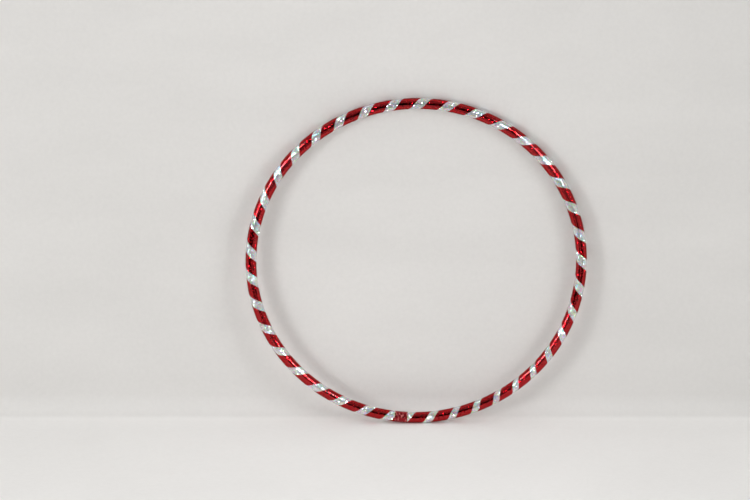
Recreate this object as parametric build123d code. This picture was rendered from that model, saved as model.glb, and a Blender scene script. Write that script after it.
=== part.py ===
from build123d import *

import os
from math import ceil, cos, degrees, hypot, pi, radians, sin

# Rhythmic gymnastics hoop: a plastic tube bent into a ring, closed by a plug and wound with tape.
#
# The hoop stands upright in the XZ plane. The origin is its centre, +Y is its axis and -Y its front.
# An angle round the hoop runs from +X towards +Z. An angle round the tube runs from the front (-Y)
# outwards, so 90 is the outer side of the hoop, 180 the back and 270 the inner side.
# All lengths are millimetres and all angles degrees.

# Tube
INSIDE_DIAMETER = 600.0  # clear width of the bare hoop
TUBE_DIAMETER = 20.0
TUBE_WALL = 2.0
BUTT_GAP = 0.3  # left between the two ends of the tube
JOINT_ANGLE = 264.7  # where the two ends meet, a little left of the lowest point

# Plug that closes the tube into a ring
PLUG_LENGTH = 80.0
PLUG_BORE = 9.0
PLUG_FIT = 0.15  # between the plug's ribs and the tube's bore
RIBS_PER_SIDE = 3
RIB_HEIGHT = 0.5
RIB_WIDTH = 3.0
RIB_PITCH = 7.0
RIB_END_MARGIN = 4.0  # from the plug's end to the first rib

# Pins driven from the inner side of the hoop through the tube and into the plug
PIN_DIAMETER = 2.0
PIN_FIT = 0.05  # round the pin in its hole
PIN_FROM_JOINT = 9.0
PIN_RECESS = 0.5  # of the pin's head below the tube's surface
PIN_BEYOND_TUBE = 2.5  # how far the pin reaches past the tube's bore

# Tapes
FILM = 0.12  # thickness of every tape
GLUE_LINE = 0.02  # under every tape
RED_WIDTH = 24.0
BAND_WIDTH = 24.0
END_GAP = 1.0  # from the joint to each end of the red tape
BAND_LAP = 25.0  # angle round the tube over which the band covers its own start
BAND_START = 180.0  # angle round the tube where the band begins

# Winding by hand: the turns crowd together on one side of the hoop.
# Each row is: waves round the hoop, swing in turns, where the swing peaks from the joint.
PITCH = 50.4  # mean travel of the tape along the tube in one turn
RED_START = 245.0  # angle round the tube of the red tape's middle, at the joint
SWINGS = ((1, 0.434, 110.4), (2, 0.178, 74.6), (3, 0.061, 71.7), (4, 0.027, 59.7))
TURNS_PER_LENGTH = 3  # the tape is shaped in lengths of about this many turns
CUTS_PER_TURN = 10

bore_radius = TUBE_DIAMETER / 2 - TUBE_WALL
tube_radius = TUBE_DIAMETER / 2
ring_radius = (INSIDE_DIAMETER + TUBE_DIAMETER) / 2  # to the middle of the tube
ring_length = 2 * pi * ring_radius
silver_radius = tube_radius + GLUE_LINE
red_radius = silver_radius + FILM + GLUE_LINE
band_radius = red_radius + FILM + GLUE_LINE
pin_tip = bore_radius - PIN_BEYOND_TUBE


def along(length):
    """Angle round the hoop that a length along the middle of the tube takes."""
    return degrees(length / ring_radius)


def point(round_hoop, round_tube, radius):
    """Point at a radius from the middle of the tube."""
    a, b = radians(round_hoop), radians(round_tube)
    out = ring_radius + radius * sin(b)
    return Vector(out * cos(a), -radius * cos(b), out * sin(a))


def tube_section(round_hoop, outer, inner):
    """Ring-shaped face across the tube."""
    a = radians(round_hoop)
    middle = point(round_hoop, 0, 0)
    plane = Plane(origin=middle, x_dir=(cos(a), 0, sin(a)), z_dir=(-sin(a), 0, cos(a)))
    return plane * (Circle(outer) - Circle(inner))


def ring_piece(outer, inner, start, length):
    """Curved pipe that follows the hoop from an angle, for a length along it."""
    return revolve(tube_section(start, outer, inner), Axis((0, 0, 0), (0, -1, 0)), along(length))


def tube_span():
    """Where the tube starts, past the joint, and how long it is."""
    return JOINT_ANGLE + along(BUTT_GAP / 2), ring_length - BUTT_GAP


def hoop_tube():
    tube = ring_piece(tube_radius, bore_radius, *tube_span())
    return tube - pin_holes()


def joint_plug():
    rib_radius = bore_radius - PLUG_FIT
    body_radius = rib_radius - RIB_HEIGHT
    start = JOINT_ANGLE - along(PLUG_LENGTH / 2)
    plug = ring_piece(body_radius, PLUG_BORE / 2, start, PLUG_LENGTH)
    for i in range(RIBS_PER_SIDE):
        near = RIB_END_MARGIN + i * RIB_PITCH
        far = PLUG_LENGTH - near - RIB_WIDTH
        for place in (near, far):
            plug += ring_piece(rib_radius, body_radius - RIB_HEIGHT, start + along(place), RIB_WIDTH)
    return plug - pin_holes()


def pin_shafts(tip, head, radius):
    """Two round bars through the inner side of the tube, one on each side of the joint."""
    shafts = []
    for side in (-1, 1):
        angle = JOINT_ANGLE + side * along(PIN_FROM_JOINT)
        towards_centre = (point(angle, 270, 1) - point(angle, 270, 0)).normalized()
        seat = Plane(origin=point(angle, 270, tip), z_dir=towards_centre)
        shafts.append(seat * extrude(Circle(radius), head - tip))
    return shafts


def joint_pins():
    return Compound(pin_shafts(pin_tip, tube_radius - PIN_RECESS, PIN_DIAMETER / 2))


def pin_holes():
    """What is drilled for the pins: out through the tube's surface, and a little past their tips."""
    return pin_shafts(pin_tip - PIN_FIT, tube_radius + PIN_DIAMETER, PIN_DIAMETER / 2 + PIN_FIT)


def turns_at(from_joint):
    """Turns round the tube that the tape has made at an angle round the hoop from the joint."""
    swing = sum(size * cos(radians(n * (from_joint - peak))) for n, size, peak in SWINGS)
    return from_joint / 360 * ring_length / PITCH + swing


def local_pitch(from_joint):
    """Travel along the tube in one turn at an angle from the joint."""
    step = 0.5
    turns = turns_at(from_joint + step) - turns_at(from_joint - step)
    return radians(2 * step) * ring_radius / turns


def red_spread(from_joint):
    """Angle round the tube that a cut across it finds covered by the red tape."""
    girth = 2 * pi * red_radius
    pitch = local_pitch(from_joint)
    return 360 * RED_WIDTH * hypot(girth, pitch) / (girth * pitch)


def red_section(from_joint):
    """Outline of the red tape cut across the tube: two arcs joined by two short edges."""
    where = JOINT_ANGLE + from_joint
    middle = RED_START - 360 * (turns_at(from_joint) - turns_at(0))
    left, right = middle - red_spread(from_joint) / 2, middle + red_spread(from_joint) / 2
    over = [point(where, angle, red_radius + FILM) for angle in (left, middle, right)]
    under = [point(where, angle, red_radius) for angle in (right, middle, left)]
    edges = [ThreePointArc(*over), Line(over[2], under[0]), ThreePointArc(*under), Line(under[2], over[0])]
    return Wire(edges)


def silver_tape():
    """Base tape: its edges meet under the red tape, so that it covers the tube from end to end."""
    return ring_piece(silver_radius + FILM, silver_radius, *tube_span())


def red_tape():
    """Tape wound in a left-handed spiral over the silver one, from one side of the joint to the other.

    It is lofted a few turns at a time. The sides of all the lengths are sewn into one skin, closed by
    the two cut ends.
    """
    first = along(END_GAP)
    last = 360 - first
    lengths = ceil((turns_at(last) - turns_at(first)) / TURNS_PER_LENGTH)
    steps = TURNS_PER_LENGTH * CUTS_PER_TURN
    skin = []
    for length in range(lengths):
        places = [first + (last - first) * (length + i / steps) / lengths for i in range(steps + 1)]
        cuts = [red_section(place) for place in places]
        solid = Solid.make_loft(cuts)
        ends = solid.faces().filter_by(GeomType.PLANE)
        skin += [face for face in solid.faces() if face not in ends]
        if length == 0:
            skin.append(ends.sort_by_distance(cuts[0].center())[0])
        if length == lengths - 1:
            skin.append(ends.sort_by_distance(cuts[-1].center())[0])
    return Solid(Shell(skin))


def joint_band():
    """Tape wrapped once straight round the joint, its end lapped over its start."""
    where = JOINT_ANGLE - along(BAND_WIDTH / 2)
    steps = 48
    rise_from = 360 - BAND_LAP
    inner, outer = [], []
    for i in range(steps + 1):
        turned = (360 + BAND_LAP) * i / steps
        climb = min(max((turned - rise_from) / BAND_LAP, 0), 1)
        radius = band_radius + (FILM + GLUE_LINE) * climb
        inner.append(point(where, BAND_START + turned, radius))
        outer.append(point(where, BAND_START + turned, radius + FILM))
    under = Spline(*inner)
    over = Spline(*reversed(outer))
    outline = Wire([under, Line(inner[-1], outer[-1]), over, Line(outer[0], inner[0])])
    return revolve(Face(outline), Axis((0, 0, 0), (0, -1, 0)), along(BAND_WIDTH))


pieces = {
    "hoop_tube": hoop_tube(),
    "joint_plug": joint_plug(),
    "joint_pins": joint_pins(),
    "silver_tape": silver_tape(),
    "red_tape": red_tape(),
    "joint_band": joint_band(),
}

os.makedirs("parts", exist_ok=True)
for name, piece in pieces.items():
    export_step(piece, f"parts/{name}.step")
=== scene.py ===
from math import ceil, cos, floor, hypot, pi, radians, sin, tan

import bmesh
import bpy
from mathutils import Matrix, Vector, noise


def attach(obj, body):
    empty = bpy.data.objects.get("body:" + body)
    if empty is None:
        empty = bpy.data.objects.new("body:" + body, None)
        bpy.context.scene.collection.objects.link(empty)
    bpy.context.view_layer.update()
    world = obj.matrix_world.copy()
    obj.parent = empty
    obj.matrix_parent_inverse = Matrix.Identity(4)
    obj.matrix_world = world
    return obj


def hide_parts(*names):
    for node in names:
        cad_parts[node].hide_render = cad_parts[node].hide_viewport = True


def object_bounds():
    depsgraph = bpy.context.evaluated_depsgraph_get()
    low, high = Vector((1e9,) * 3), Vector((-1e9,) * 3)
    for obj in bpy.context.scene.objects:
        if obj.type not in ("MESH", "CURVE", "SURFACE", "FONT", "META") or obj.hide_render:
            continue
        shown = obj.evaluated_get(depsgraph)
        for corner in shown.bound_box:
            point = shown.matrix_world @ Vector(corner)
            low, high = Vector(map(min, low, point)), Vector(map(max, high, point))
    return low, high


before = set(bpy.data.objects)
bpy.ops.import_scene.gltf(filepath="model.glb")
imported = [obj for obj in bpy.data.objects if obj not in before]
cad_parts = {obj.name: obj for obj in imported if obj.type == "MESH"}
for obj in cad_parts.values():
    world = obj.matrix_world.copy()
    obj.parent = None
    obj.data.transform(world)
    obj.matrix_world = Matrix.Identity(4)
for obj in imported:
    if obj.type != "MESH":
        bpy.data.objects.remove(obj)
cad_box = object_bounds()

# Rhythmic gymnastics hoop, standing upright in the XZ plane with its front towards -Y.
# Lengths are metres. Angles are degrees: round the hoop from +X towards +Z, and round the tube
# from the front outwards, so that 90 is the hoop's outer side, 180 its back and 270 its inner side.
MM = 0.001
OUTER_SIDE = 90
BACK = 180
INNER_SIDE = 270

# Tube
RING_RADIUS = 310 * MM  # to the middle of the tube
TUBE_RADIUS = 10 * MM
BORE_RADIUS = 8 * MM
BUTT_GAP = 0.3 * MM  # between the tube's two ends
JOINT_ANGLE = 264.7  # where they meet, near the hoop's lowest point
PIN_HOLE_RADIUS = 1.05 * MM
PIN_FROM_JOINT = 9 * MM

# Tapes
FILM = 0.12 * MM  # thickness of each tape
GLUE_LINE = 0.02 * MM  # under each tape
SILVER_RADIUS = TUBE_RADIUS + GLUE_LINE
RED_RADIUS = SILVER_RADIUS + FILM + GLUE_LINE
BAND_RADIUS = RED_RADIUS + FILM + GLUE_LINE
RED_WIDTH = 24 * MM
RED_START = 245.0  # round the tube, of the red tape's middle at the joint
RED_END_GAP = 1 * MM  # from the joint to each end of the red tape
BAND_WIDTH = 24 * MM
BAND_LAP = 25.0  # of its end over its start, round the tube
BAND_CREASE = 0.35 * MM  # height of its creases
BAND_FRAY = 0.8 * MM  # how far its edges wander

# Winding by hand: the turns crowd together on one side of the hoop.
# Each row is: waves round the hoop, swing in turns, where the swing peaks from the joint.
RING_LENGTH = 2 * pi * RING_RADIUS
PITCH = 50.4 * MM
SWINGS = ((1, 0.434, 110.4), (2, 0.178, 74.6), (3, 0.061, 71.7), (4, 0.027, 59.7))

# Fineness of the meshes
SIDES = 48  # round the tube
STATION = 360 / SIDES
FILM_ROWS = 720  # round the hoop
TUBE_ROWS = 360
TAPE_COLUMNS = 12  # over the red tape's width
TAPE_SHORTEST = 0.3 * MM  # least length of the red tape's lines along the tube
BAND_COLUMNS = 110  # round the tube
BAND_ROWS = 32  # over the band's width
DRILL_SIDES = 24

# The map that a sleeve's finish bakes to. Heights are in a strip, from 0 to 1.
MAP_MARGIN = 0.02
MAP_FILL = 0.96  # what the margins leave
OUTER_TOP = 0.80  # of the outer skin, which starts at 0
EDGE_TOP = 0.83  # of the edge between the outer skin and the inner
INNER_TOP = 0.97  # of the inner skin. The other edge lies above it.
END_HEIGHT = 0.77  # of the sleeve's two ends, which lie in the margins
END_SIDES = ((0.016, 0.004), (0.984, 0.996))


# Shader nodes


class Value:
    """A number, colour or direction that a node gives out. Expressions on numbers make Math nodes."""

    def __init__(self, nodes, socket):
        self.nodes = nodes
        self.socket = socket

    def __add__(self, other):
        return self.nodes.maths("ADD", self, other)

    def __radd__(self, other):
        return self.nodes.maths("ADD", other, self)

    def __sub__(self, other):
        return self.nodes.maths("SUBTRACT", self, other)

    def __rsub__(self, other):
        return self.nodes.maths("SUBTRACT", other, self)

    def __mul__(self, other):
        return self.nodes.maths("MULTIPLY", self, other)

    def __rmul__(self, other):
        return self.nodes.maths("MULTIPLY", other, self)


class Nodes:
    """The nodes of one material or of the world."""

    def __init__(self, owner):
        owner.use_nodes = True
        self.tree = owner.node_tree
        self.tree.nodes.clear()

    def add(self, kind, settings=None, sockets=None, output=0):
        """Adds a node: its settings first, then the values or links of its sockets."""
        node = self.tree.nodes.new(kind)
        for name, value in (settings or {}).items():
            setattr(node, name, value)
        for name, value in (sockets or {}).items():
            if isinstance(value, Value):
                self.tree.links.new(value.socket, node.inputs[name])
            else:
                node.inputs[name].default_value = value
        return Value(self, node.outputs[output] if len(node.outputs) else None)

    def maths(self, operation, *numbers):
        return self.add("ShaderNodeMath", {"operation": operation}, dict(enumerate(numbers)))

    def mix(self, share, first, second):
        """Colour mixed from two others. Sockets 6, 7 and 2 are the node's colours."""
        sockets = {0: share, 6: first, 7: second}
        return self.add("ShaderNodeMix", {"data_type": "RGBA"}, sockets, output=2)

    def vector(self, operation, *inputs, output=0):
        settings = {"operation": operation}
        return self.add("ShaderNodeVectorMath", settings, dict(enumerate(inputs)), output)

    def smooth(self, value, low, high):
        """0 before low, 1 past high, and a smooth change between them. High may be the lesser."""
        settings = {"interpolation_type": "SMOOTHSTEP"}
        sockets = {"Value": value, "From Min": low, "From Max": high}
        return self.add("ShaderNodeMapRange", settings, sockets)

    def place(self, scale=1.0):
        """Where a point of the surface is in the object, times a scale."""
        here = self.add("ShaderNodeTexCoord", output="Object")
        return self.vector("MULTIPLY", here, (scale, scale, scale))

    def part(self, vector, axis):
        """The X, Y or Z of a place or a direction."""
        return self.add("ShaderNodeSeparateXYZ", None, {"Vector": vector}, axis)

    def cloud(self, vector, detail, roughness=0.5, scale=1.0):
        """Soft noise from 0 to 1."""
        sockets = {"Vector": vector, "Scale": scale, "Detail": detail, "Roughness": roughness}
        return self.add("ShaderNodeTexNoise", None, sockets)

    def ray(self, kind):
        """1 for light rays of a kind, 0 for others."""
        return self.add("ShaderNodeLightPath", output=kind)

    def mix_shaders(self, share, first, second):
        """Shader mixed from two others."""
        return self.add("ShaderNodeMixShader", None, {0: share, 1: first, 2: second})


def material(name, build):
    """Material whose shader a function of its nodes builds."""
    made = bpy.data.materials.new(name)
    nodes = Nodes(made)
    shader = build(nodes)
    nodes.add("ShaderNodeOutputMaterial", None, {"Surface": shader})
    return made


def principled(nodes, sockets):
    return nodes.add("ShaderNodeBsdfPrincipled", None, sockets)


def grey(level):
    return (level, level, level, 1)


# Finishes of the pieces


def shards(nodes, size, little, much, share):
    """Facets pressed into a film: a random colour for each, and the surface's direction there.

    Most facets lean a little, and a share of them much more.
    """
    pattern = {"voronoi_dimensions": "3D", "feature": "F1"}
    sockets = {"Vector": nodes.place(1 / size), "Scale": 1.0}
    facet = nodes.add("ShaderNodeTexVoronoi", pattern, sockets, output="Color")
    lean = nodes.vector("SUBTRACT", facet, (0.5, 0.5, 0.5))
    chance = nodes.add("ShaderNodeTexWhiteNoise", None, {"Vector": facet}, output="Value")
    amount = 2 * little + 2 * (much - little) * nodes.maths("LESS_THAN", chance, share)
    lean = nodes.add("ShaderNodeVectorMath", {"operation": "SCALE"}, {0: lean, "Scale": amount})
    straight = nodes.add("ShaderNodeNewGeometry", output="Normal")
    facing = nodes.vector("NORMALIZE", nodes.vector("ADD", straight, lean))
    return facet, facing


def silver_film(nodes):
    """Silver film with weak rainbow tints: each facet has its own hue, strength and shade."""
    facet, facing = shards(nodes, size=1.5 * MM, little=0.18, much=0.6, share=0.5)
    hue, strength, shade = (
        nodes.add("ShaderNodeSeparateColor", None, {"Color": facet}, output)
        for output in ("Red", "Green", "Blue")
    )
    tint = nodes.add(
        "ShaderNodeCombineColor",
        {"mode": "HSV"},
        {"Red": hue, "Green": strength * 0.7, "Blue": 0.78 + 0.22 * shade},
    )
    return principled(
        nodes,
        {
            "Base Color": tint,
            "Metallic": 0.72,
            "Roughness": 0.13,
            "Normal": facing,
            "Coat Weight": 0.5,
            "Coat Roughness": 0.04,
        },
    )


def red_film(nodes):
    """Red mirror film under a clear coat. Its facets are flatter than the silver's."""
    facet, facing = shards(nodes, size=2.0 * MM, little=0.03, much=0.36, share=0.35)
    shade = nodes.add("ShaderNodeSeparateColor", None, {"Color": facet}, output="Blue")
    colour = nodes.mix(shade, (0.37, 0.002, 0.005, 1), (0.46, 0.003, 0.008, 1))
    return principled(
        nodes,
        {
            "Base Color": colour,
            "Metallic": 1.0,
            "Roughness": 0.09,
            "Specular Tint": (0.4, 0.005, 0.01, 1),
            "Normal": facing,
            "Coat Weight": 0.11,
            "Coat IOR": 2.6,
            "Coat Roughness": 0.04,
        },
    )


def band_film(nodes):
    """The same red film, duller, with its colour rubbed to pink in patches and stripes."""
    _, facing = shards(nodes, size=1.6 * MM, little=0.08, much=0.35, share=0.35)
    spot = nodes.vector("MULTIPLY", nodes.place(1 / MM), (0.42, 0.12, 0.16))
    worn = nodes.smooth(nodes.cloud(spot, detail=4.0, roughness=0.65), 0.50, 0.68)
    colour = nodes.mix(worn, (0.30, 0.004, 0.012, 1), (0.66, 0.19, 0.18, 1))
    return principled(
        nodes,
        {
            "Base Color": colour,
            "Metallic": 0.8,
            "Roughness": 0.2 + 0.25 * worn,
            "Normal": facing,
            "Coat Weight": 0.15,
            "Coat Roughness": 0.2,
        },
    )


def tube_plastic(nodes):
    """Pale drawn polyethylene, slightly cloudy."""
    cloud = nodes.cloud(nodes.place(60.0), detail=5.0)
    colour = nodes.mix(cloud, (0.80, 0.80, 0.77, 1), (0.90, 0.90, 0.88, 1))
    grain = nodes.add("ShaderNodeBump", None, {"Strength": 0.1, "Distance": 0.1 * MM, "Height": cloud})
    return principled(nodes, {"Base Color": colour, "Roughness": 0.45, "Normal": grain})


def plug_plastic(nodes):
    """Moulded plastic, a little rougher and greyer than the tube."""
    cloud = nodes.cloud(nodes.place(220.0), detail=5.0)
    colour = nodes.mix(cloud, (0.72, 0.72, 0.70, 1), (0.86, 0.86, 0.84, 1))
    grain = nodes.add("ShaderNodeBump", None, {"Strength": 0.2, "Distance": 0.1 * MM, "Height": cloud})
    return principled(nodes, {"Base Color": colour, "Roughness": 0.4 + 0.2 * cloud, "Normal": grain})


def pin_steel(nodes):
    """Drawn steel wire, cut to length."""
    drawn = nodes.cloud(nodes.place(1500.0), detail=3.0)
    colour = nodes.mix(drawn, (0.52, 0.52, 0.54, 1), (0.68, 0.68, 0.70, 1))
    return principled(nodes, {"Base Color": colour, "Metallic": 1.0, "Roughness": 0.25 + 0.2 * drawn})


# Shapes


def clamp(value):
    """The value, held between 0 and 1."""
    return min(max(value, 0), 1)


def point(round_hoop, round_tube, radius):
    """Point at a radius from the middle of the tube."""
    a, b = radians(round_hoop), radians(round_tube)
    out = RING_RADIUS + radius * sin(b)
    return Vector((out * cos(a), -radius * cos(b), out * sin(a)))


def along(length):
    """Angle round the hoop that a length along the middle of the tube takes."""
    return 360 * length / RING_LENGTH


def mesh_object(name, points, faces, finish, flat=None):
    """Mesh with one finish.

    flat holds the place of each face's corners on the map that the finish bakes to.
    """
    mesh = bpy.data.meshes.new(name)
    mesh.from_pydata(points, [], faces)
    mesh.materials.append(finish)
    mesh.polygons.foreach_set("use_smooth", [True] * len(mesh.polygons))
    mesh.set_sharp_from_angle(angle=radians(40))
    if flat:
        places = [number for corner in flat for number in corner]
        mesh.uv_layers.new(name="OFBake").data.foreach_set("uv", places)
    made = bpy.data.objects.new(name, mesh)
    bpy.context.scene.collection.objects.link(made)
    return made


def sleeve(name, over, under, finish, strips, wraps=False):
    """Solid between two skins of rows of points, closed along its edges. It wraps if its rows are rings.

    Its map has the rows cut into strips, laid one above another. Each strip holds the outer skin, one
    edge, the inner skin and the other edge, and the two ends lie beside the first and last strips.
    """
    rows, columns = len(over), len(over[0])
    spans = columns if wraps else columns - 1
    last = rows - 1
    length = ceil(last / strips)
    points = [place for skin in (over, under) for row in skin for place in row]
    faces, flat = [], []
    outer, inner = 0, 1

    def at(skin, i, j):
        return (skin * rows + i) * columns + j % columns

    def panel(i, one, other, low, high):
        """Face from row i to the next, between two lines: each is a skin and a column, and a height."""
        strip = i // length
        corners = ((one, i, low), (other, i, high), (other, i + 1, high), (one, i + 1, low))
        faces.append([at(skin, row, column) for (skin, column), row, _ in corners])
        for _, row, height in corners:
            side = MAP_MARGIN + MAP_FILL * (row - strip * length) / length
            flat.append((side, (strip + MAP_MARGIN + MAP_FILL * height) / strips))

    for i in range(last):
        for j in range(spans):
            low, high = OUTER_TOP * j / spans, OUTER_TOP * (j + 1) / spans
            panel(i, (outer, j), (outer, j + 1), low, high)
            drop = (INNER_TOP - EDGE_TOP) / spans
            panel(i, (inner, j + 1), (inner, j), INNER_TOP - drop * (j + 1), INNER_TOP - drop * j)
        if not wraps:
            panel(i, (inner, 0), (outer, 0), INNER_TOP, 1.0)
            panel(i, (outer, spans), (inner, spans), OUTER_TOP, EDGE_TOP)

    for row, strip, (near, far) in zip((0, last), (0, (last - 1) // length), END_SIDES):
        turn = -1 if row else 1
        for j in range(spans):
            corners = [at(outer, row, j), at(inner, row, j), at(inner, row, j + 1), at(outer, row, j + 1)]
            places = [
                (side, (strip + MAP_MARGIN + END_HEIGHT * (j + step) / spans) / strips)
                for side, step in ((near, 0), (far, 0), (far, 1), (near, 1))
            ]
            faces.append(corners[::turn])
            flat.extend(places[::turn])
    return mesh_object(name, points, faces, finish, flat)


def rings(radius, rows):
    """Rings of points round the tube, from one of its ends to the other."""
    start = along(BUTT_GAP / 2)
    step = (360 - 2 * start) / rows
    return [
        [point(JOINT_ANGLE + start + i * step, j * STATION, radius) for j in range(SIDES)]
        for i in range(rows + 1)
    ]


def drill(body):
    """Cuts the two pin holes through the inner side of the tube, one on each side of the joint.

    Each cut starts in the bore and ends clear of the tube. Cutting spoils the tube's map, so the map
    is taken off.
    """
    made = bmesh.new()
    for side in (-1, 1):
        where = JOINT_ANGLE + side * along(PIN_FROM_JOINT)
        near = point(where, INNER_SIDE, BORE_RADIUS - 1 * MM)
        far = point(where, INNER_SIDE, TUBE_RADIUS + 2 * MM)
        turn = (far - near).to_track_quat("Z", "Y").to_matrix().to_4x4()
        turn.translation = (near + far) / 2
        bmesh.ops.create_cone(
            made, cap_ends=True, segments=DRILL_SIDES, radius1=PIN_HOLE_RADIUS,
            radius2=PIN_HOLE_RADIUS, depth=(far - near).length, matrix=turn,
        )
    mesh = bpy.data.meshes.new("drill")
    made.to_mesh(mesh)
    made.free()
    cutter = bpy.data.objects.new("drill", mesh)
    bpy.context.scene.collection.objects.link(cutter)
    cut = body.modifiers.new("holes", "BOOLEAN")
    cut.object = cutter
    cut.operation = "DIFFERENCE"
    cut.solver = "EXACT"
    drilled = bpy.data.meshes.new_from_object(
        body.evaluated_get(bpy.context.evaluated_depsgraph_get())
    )
    drilled.uv_layers.remove(drilled.uv_layers["OFBake"])
    body.modifiers.clear()
    body.data = drilled
    bpy.data.objects.remove(cutter)


def turns_at(from_joint):
    """Turns round the tube that the tape has made at an angle round the hoop from the joint."""
    swing = sum(size * cos(radians(n * (from_joint - peak))) for n, size, peak in SWINGS)
    return from_joint / 360 * RING_LENGTH / PITCH + swing


def red_spread(from_joint):
    """Angle round the tube that the red tape covers on a cut across it."""
    turns = turns_at(from_joint + 0.5) - turns_at(from_joint - 0.5)
    pitch = RING_LENGTH / 360 / turns
    girth = 2 * pi * RED_RADIUS
    return 360 * RED_WIDTH * hypot(girth, pitch) / (girth * pitch)


def red_edge(from_joint, side):
    """Angle round the tube of an edge of the tape, counted on past full turns. side is -1 or 1."""
    middle = RED_START - 360 * (turns_at(from_joint) - turns_at(0))
    return middle + side * red_spread(from_joint) / 2


def where_edge_is(angle, side, first, last):
    """Angle from the joint at which an edge of the tape gets to an angle round the tube.

    It lies between first and last, and halving that span over and over finds it.
    """
    for _ in range(40):
        middle = (first + last) / 2
        if red_edge(middle, side) > angle:
            first = middle
        else:
            last = middle
    return first


def red_rows():
    """Places of the red tape on lines along the tube: from the joint, round the tube."""
    first = along(RED_END_GAP)
    last = 360 - first
    start = floor(red_edge(first, 1) / STATION)
    end = ceil(red_edge(last, -1) / STATION)
    rows = []
    for line in range(start, end - 1, -1):
        angle = line * STATION
        near = where_edge_is(angle, -1, first, last)
        far = where_edge_is(angle, 1, first, last)
        if far - near > along(TAPE_SHORTEST):
            step = (far - near) / TAPE_COLUMNS
            rows.append([(near + i * step, angle) for i in range(TAPE_COLUMNS + 1)])
    return rows


def red_skin(rows, radius):
    """The red tape's rows of points at a radius from the middle of the tube."""
    return [[point(JOINT_ANGLE + place, angle, radius) for place, angle in row] for row in rows]


def crease(turned, across):
    """Height of the band's creases: coarse and fine waves, none at its edges or the outer side.

    turned is the angle from the band's start, and across runs from -0.5 to 0.5 over its width.
    """
    from_outer = abs((BACK + turned) % 360 - OUTER_SIDE)
    clear = clamp((from_outer - 25) / 20)
    coarse = noise.noise((turned / 30, across * 9, 3.0))
    fine = noise.noise((turned / 12, across * 16, 7.0))
    return clear * max(coarse + 0.5 * fine, 0) * (1 - abs(2 * across) ** 6)


def band_skin(lift):
    """One skin of the band: a turn round the joint from the back, its end lapped over its start."""
    skin = []
    for i in range(BAND_ROWS + 1):
        across = i / BAND_ROWS - 0.5
        row = []
        for j in range(BAND_COLUMNS + 1):
            turned = (360 + BAND_LAP) * j / BAND_COLUMNS
            climb = clamp((turned - 360 + BAND_LAP) / BAND_LAP)
            radius = BAND_RADIUS + (FILM + GLUE_LINE) * climb + lift
            radius += BAND_CREASE * crease(turned, across)
            fray = BAND_FRAY * noise.noise((turned / 9, 5 * (across > 0), 0.5)) * abs(2 * across) ** 3
            where = JOINT_ANGLE + along(across * BAND_WIDTH + fray)
            row.append(point(where, BACK + turned, radius))
        skin.append(row)
    return skin


# Pieces


def fit(piece, node):
    """Puts a piece on the hoop in place of its CAD node."""
    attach(piece, "root")
    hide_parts(node)


def build_hoop():
    """The tube, its tapes and the band. The plug and the pins keep their CAD shapes."""
    tube = sleeve(
        "bent_tube", rings(TUBE_RADIUS, TUBE_ROWS), rings(BORE_RADIUS, TUBE_ROWS),
        material("tube_plastic", tube_plastic), strips=5, wraps=True,
    )
    drill(tube)
    fit(tube, "hoop_tube")

    silver = sleeve(
        "silver_film_layer", rings(SILVER_RADIUS + FILM, FILM_ROWS), rings(SILVER_RADIUS, FILM_ROWS),
        material("silver_film", silver_film), strips=5, wraps=True,
    )
    fit(silver, "silver_tape")

    rows = red_rows()
    red = sleeve(
        "red_spiral_tape", red_skin(rows, RED_RADIUS + FILM), red_skin(rows, RED_RADIUS),
        material("red_film", red_film), strips=10,
    )
    fit(red, "red_tape")

    band = sleeve(
        "joint_wrap", band_skin(FILM), band_skin(0), material("band_film", band_film), strips=1,
    )
    fit(band, "joint_band")

    for node, finish in (("joint_plug", plug_plastic), ("joint_pins", pin_steel)):
        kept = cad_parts[node]
        kept.data.materials.clear()
        kept.data.materials.append(material(finish.__name__, finish))


# Studio

# Camera: its angles from the hoop's front, how far off it is, and where it aims
CAMERA_TURN = -1.13  # to the hoop's left
CAMERA_RISE = 18.3
CAMERA_DISTANCE = 20.0
AIM_RIGHT = -0.07735
AIM_UP = 0.0209
VIEW_WIDTH = 1.4067  # what the camera sees from side to side, at the hoop
SENSOR_WIDTH = 36  # in millimetres, as Blender has it

# Lamps: name, direction from the hoop, width as an angle, radiance.
# Each soft lamp has a narrow partner beside it that draws a thin bright line along shiny films.
LAMP_DISTANCE = 4.0
LAMP_LENGTH = 14
LAMPS = (
    ("left_lamp", (-0.722, -0.66, 0.208), 14, 12.6),
    ("right_lamp", (0.69, -0.62, 0.376), 20, 6.9),
)
GLINT_WIDTH = 2
GLINT_LENGTH = 32
GLINT_RADIANCE = 110
GLINT_COLOUR = (0.65, 1.0, 0.98)
GLINTS = (("left_glint", (-0.765, -0.61, 0.22)), ("right_glint", (0.63, -0.69, 0.343)))

# Paper: a floor that curves up into a wall close behind the hoop
WALL_GAP = 0.029  # behind the hoop's middle
WALL_LEAN = -0.054  # towards the front, for each metre up
WALL_TURN = -0.016  # towards the front, for each metre to the right
WALL_SIDE = 1.0  # half the width of its flat part
WALL_BEND = 0.3  # back, for each metre beyond the flat part
WALL_HEIGHTS = (0.0, 0.3, 0.6, 1.2, 1.8)
PAPER_SIDE = 3.5  # half its width
PAPER_COLUMNS = 28
COVE_RADIUS = 0.040  # between the floor and the wall
COVE_STEPS = 12
FLOOR_LINES = (-4.0, -2.0, -1.0, -0.3, -0.1)  # places of the floor's rows, front to back
TURN_STARTS = 0.3  # in front of the hoop: the floor's rows turn with the wall from here on
# Painted light: wall and floor are one paper, and the floor is painted paler as if more light fell on it.
PAINTED_FLOOR_LIGHT_HEIGHTS = (-0.314, -0.3205)  # heights over which the wall's tone turns into the floor's
WALL_ENDS = (0.8, 1.0)  # to each side, where the camera stops seeing the wall
WALL_RISES = (-0.315, -0.29)  # heights over which the cove counts as wall
PAINTED_REFLECTION_PLACES = (-0.54, -0.64)  # places from which films mirror the painted floor reflection instead of the lit paper
PAPER_TONE = (0.723, 0.708, 0.687, 1)  # of the room where the camera sees past the paper


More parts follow.
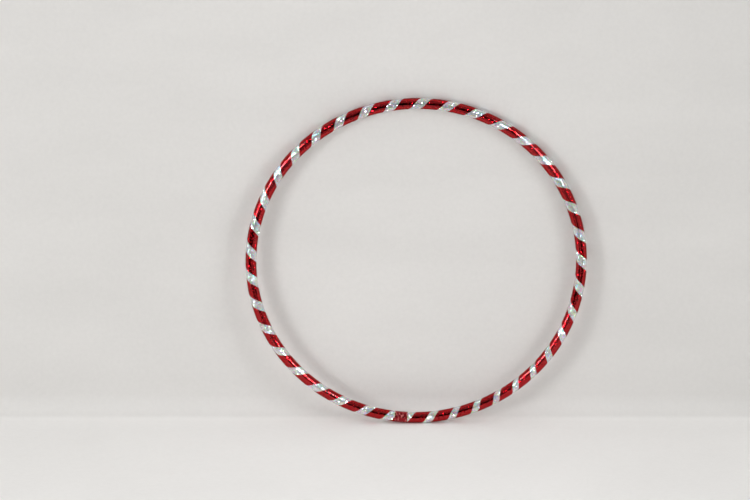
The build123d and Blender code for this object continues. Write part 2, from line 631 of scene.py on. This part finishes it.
def view_axes():
    """Directions from the hoop to the camera, to the view's right and up in it."""
    turn, rise = radians(CAMERA_TURN), radians(CAMERA_RISE)
    towards = Vector((sin(turn) * cos(rise), -cos(turn) * cos(rise), sin(rise)))
    right = Vector((cos(turn), sin(turn), 0))
    return towards, right, towards.cross(right)


def set_camera():
    towards, right, up = view_axes()
    lens = bpy.data.cameras.new("camera")
    lens.sensor_width = SENSOR_WIDTH
    lens.lens = SENSOR_WIDTH * CAMERA_DISTANCE / VIEW_WIDTH
    lens.clip_end = 100
    camera = bpy.data.objects.new("camera", lens)
    bpy.context.scene.collection.objects.link(camera)
    camera.location = towards * CAMERA_DISTANCE
    aim = right * AIM_RIGHT + up * AIM_UP
    camera.rotation_euler = (aim - camera.location).to_track_quat("-Z", "Y").to_euler()
    bpy.context.scene.camera = camera


def lamp(name, direction, width, length, radiance):
    """Lamp square to its direction from the hoop. Its width and length are angles seen from there."""
    direction = Vector(direction).normalized()
    outward = Vector((direction.x, 0, direction.z)).normalized()
    light = bpy.data.lights.new(name, "AREA")
    light.shape = "RECTANGLE"
    light.size = 2 * LAMP_DISTANCE * tan(radians(width / 2))
    light.size_y = 2 * LAMP_DISTANCE * tan(radians(length / 2))
    light.energy = radiance * pi * light.size * light.size_y
    made = bpy.data.objects.new(name, light)
    bpy.context.scene.collection.objects.link(made)
    side = direction.cross(outward).cross(direction).normalized()
    turn = Matrix((side, direction.cross(side), direction)).transposed()
    made.matrix_world = Matrix.Translation(direction * LAMP_DISTANCE) @ turn.to_4x4()
    return made


def set_lamps():
    for name, way, width, radiance in LAMPS:
        lamp(name, way, width, LAMP_LENGTH, radiance).visible_glossy = False
    for name, way in GLINTS:
        glint = lamp(name, way, GLINT_WIDTH, GLINT_LENGTH, GLINT_RADIANCE)
        glint.data.color = GLINT_COLOUR
        glint.visible_diffuse = False


def paper_colour(nodes, spot):
    """Cloudy and faintly flecked. The floor is a paler copy of the wall's tone, painted light from above,
    and both sides are darkened with painted shade.
    """
    aside, height = nodes.part(spot, "X"), nodes.part(spot, "Z")
    cloud = nodes.cloud(nodes.vector("MULTIPLY", spot, (3.0, 3.0, 9.0)), detail=6.0)
    fleck = nodes.cloud(spot, detail=2.0, roughness=0.6, scale=130.0)
    level = 0.5 + 0.9 * (cloud - 0.5) + 0.5 * (fleck - 0.5)
    wall = nodes.mix(level, (0.714, 0.701, 0.684, 1), (0.818, 0.804, 0.785, 1))
    # Painted light: the floor's tone is the wall's paper painted brighter.
    ground = nodes.mix(level, (0.845, 0.833, 0.817, 1), (0.948, 0.936, 0.921, 1))
    colour = nodes.mix(nodes.smooth(height, *PAINTED_FLOOR_LIGHT_HEIGHTS), wall, ground)
    # Painted shade: the paper is darkened towards both sides.
    painted_side_shade = nodes.smooth(aside, 0.05, 0.65) + 0.7 * nodes.smooth(aside, -0.15, -0.65)
    return nodes.mix(0.13 * painted_side_shade, colour, (0.40, 0.40, 0.38, 1))


def painted_floor_reflection(nodes, spot):
    """Painted reflection of the floor in front, seen only by shiny films: a glowing pale level tone with
    a painted dark patch on each side.
    """
    aside, forward = nodes.part(spot, "X"), nodes.part(spot, "Y")
    painted_dark_patches = nodes.smooth(forward, -2.2, -2.0) * (1 - nodes.smooth(forward, -0.64, -0.54))
    left = nodes.smooth(aside, -0.02, -0.12)
    right = nodes.smooth(aside, 0.22, 0.32) * nodes.smooth(aside, 1.2, 1.0)
    colour = nodes.mix(painted_dark_patches * (left + right), grey(0.6), grey(0.02))
    return nodes.add("ShaderNodeEmission", None, {"Color": colour})


def studio_paper(nodes):
    """Pale paper.

    The camera doesn't see it from behind, nor the wall's far ends, which would hide the hoop from
    the side.
    """
    spot = nodes.place()
    aside, forward, height = (nodes.part(spot, axis) for axis in "XYZ")
    paper = nodes.add("ShaderNodeBsdfDiffuse", None, {"Color": paper_colour(nodes, spot)})
    # Painted reflection: in front of these places, shiny films see a glowing painted floor, not the lit
    # paper.
    mirrored = nodes.ray("Is Glossy Ray") * nodes.smooth(forward, *PAINTED_REFLECTION_PLACES)
    paper = nodes.mix_shaders(mirrored, paper, painted_floor_reflection(nodes, spot))
    near, far = WALL_ENDS
    ends = nodes.smooth(aside, near, far) + nodes.smooth(aside, -near, -far)
    upright = nodes.smooth(height, *WALL_RISES)
    behind = nodes.add("ShaderNodeNewGeometry", output="Backfacing")
    hidden = nodes.maths("MAXIMUM", behind, ends * upright) * nodes.ray("Is Camera Ray")
    return nodes.mix_shaders(hidden, paper, nodes.add("ShaderNodeBsdfTransparent"))


def backdrop():
    """Rows of points from the floor's front, up the cove and the wall, joined into one sheet."""
    ground = cad_box[0][2]
    foot = WALL_GAP + WALL_LEAN * ground
    profile = [(y, ground) for y in FLOOR_LINES]
    for i in range(COVE_STEPS + 1):
        turn = radians(90 * i / COVE_STEPS)
        back = foot - COVE_RADIUS + COVE_RADIUS * sin(turn)
        profile.append((back, ground + COVE_RADIUS * (1 - cos(turn))))
    profile += [(WALL_GAP + WALL_LEAN * height, height) for height in WALL_HEIGHTS]
    points, faces = [], []
    for y, z in profile:
        share = clamp(1 + y / TURN_STARTS)
        for j in range(PAPER_COLUMNS + 1):
            x = -PAPER_SIDE + 2 * PAPER_SIDE * j / PAPER_COLUMNS
            flat = min(max(x, -WALL_SIDE), WALL_SIDE)
            shift = WALL_TURN * flat + WALL_BEND * abs(x - flat)
            points.append((x, y + shift * share, z))
    for i in range(len(profile) - 1):
        for j in range(PAPER_COLUMNS):
            a = i * (PAPER_COLUMNS + 1) + j
            faces.append((a, a + 1, a + PAPER_COLUMNS + 2, a + PAPER_COLUMNS + 1))
    paper = mesh_object("backdrop", points, faces, material("studio_paper", studio_paper))


def room(nodes):
    """Soft light from above.

    Shiny films mirror a pale room that is dark in front, and the camera sees the paper's tone.
    """
    way = nodes.add("ShaderNodeTexCoord", output="Generated")

    def towards(rise, wide, soft):
        """1 within an angle of a direction in front of the hoop, 0 beyond its soft edge."""
        middle = (0, -cos(radians(rise)), sin(radians(rise)))
        nearness = nodes.vector("DOT_PRODUCT", way, middle, output="Value")
        return nodes.smooth(nearness, cos(radians(wide + soft)), cos(radians(wide)))

    soft = nodes.mix(nodes.smooth(nodes.part(way, "Z"), 0.0, 1.0), grey(0.28), grey(0.98))
    mirrored = nodes.mix(towards(50, 60, 20), grey(0.66), grey(0.36))
    mirrored = nodes.mix(towards(14, 22, 8), mirrored, grey(0.01))
    colour = nodes.mix(nodes.ray("Is Glossy Ray"), soft, mirrored)
    colour = nodes.mix(nodes.ray("Is Camera Ray"), colour, PAPER_TONE)
    return nodes.add("ShaderNodeBackground", None, {"Color": colour, "Strength": 1.0})


def set_world():
    world = bpy.data.worlds.new("room")
    bpy.context.scene.world = world
    nodes = Nodes(world)
    nodes.add("ShaderNodeOutputWorld", None, {"Surface": room(nodes)})


bpy.context.scene.view_settings.view_transform = "Standard"
build_hoop()
set_camera()
backdrop()
set_lamps()
set_world()
